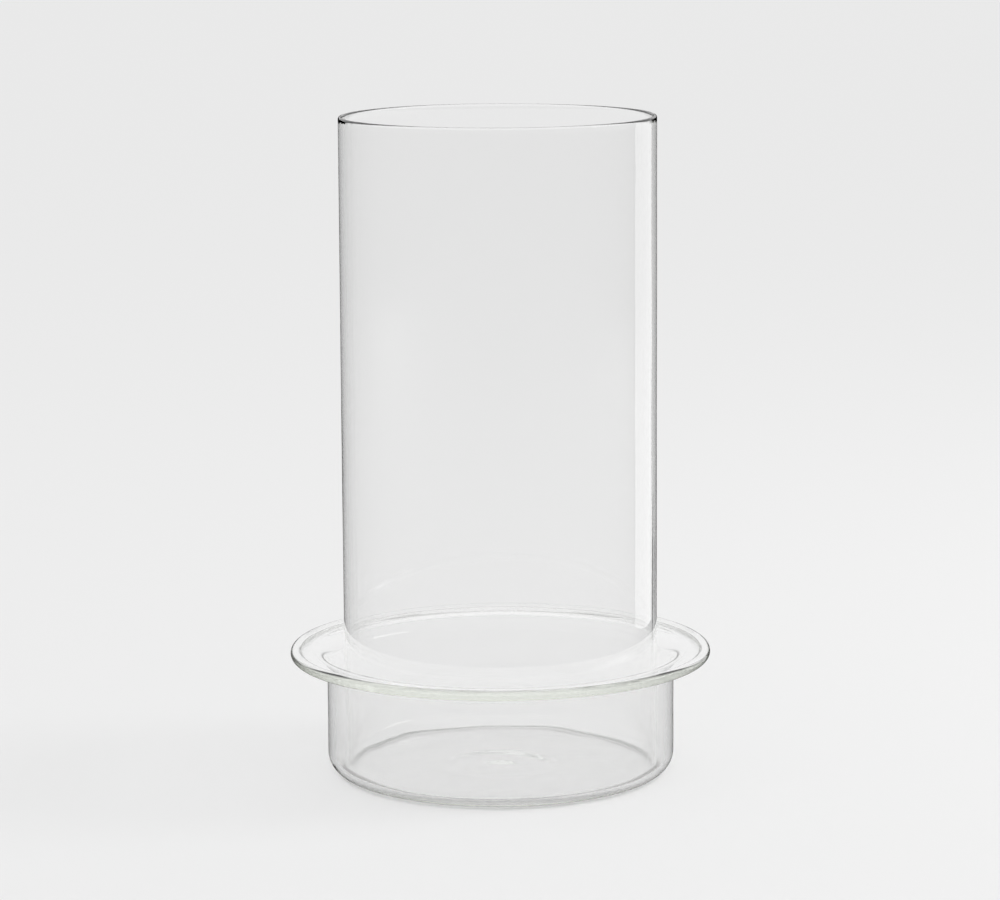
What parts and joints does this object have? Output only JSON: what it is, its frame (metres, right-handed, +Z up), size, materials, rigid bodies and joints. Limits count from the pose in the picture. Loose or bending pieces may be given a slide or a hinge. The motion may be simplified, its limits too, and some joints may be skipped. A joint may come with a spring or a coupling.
{
  "type": "hurricane candle lantern",
  "caption": "Hurricane candle lantern: a straight clear glass chimney, open at both ends, standing loose in a shallow glass dish with a wide flat flange, made for a pillar candle to stand inside.",
  "frame": {"origin": "centre of the dish's underside, on the surface that the lantern stands on", "axes": "+Z up along the chimney; the lantern is round, so +X and +Y are any two level directions, and the picture looks along +Y"},
  "size_m": [0.204, 0.204, 0.319],
  "materials": {
    "dish_glass": "clear, fire-polished, faint green-grey edge",
    "chimney_glass": "clear, fire-polished, faint draw lines"
  },
  "bodies": {
    "dish": {"flanged_dish": "dish_glass"},
    "chimney": {"glass_chimney": "chimney_glass"}
  },
  "joints": [
    {"name": "chimney_lift", "type": "slide", "parent": "dish", "child": "chimney", "axis": [0, 0, 1], "range_m": [0, 0.08]}
  ]
}
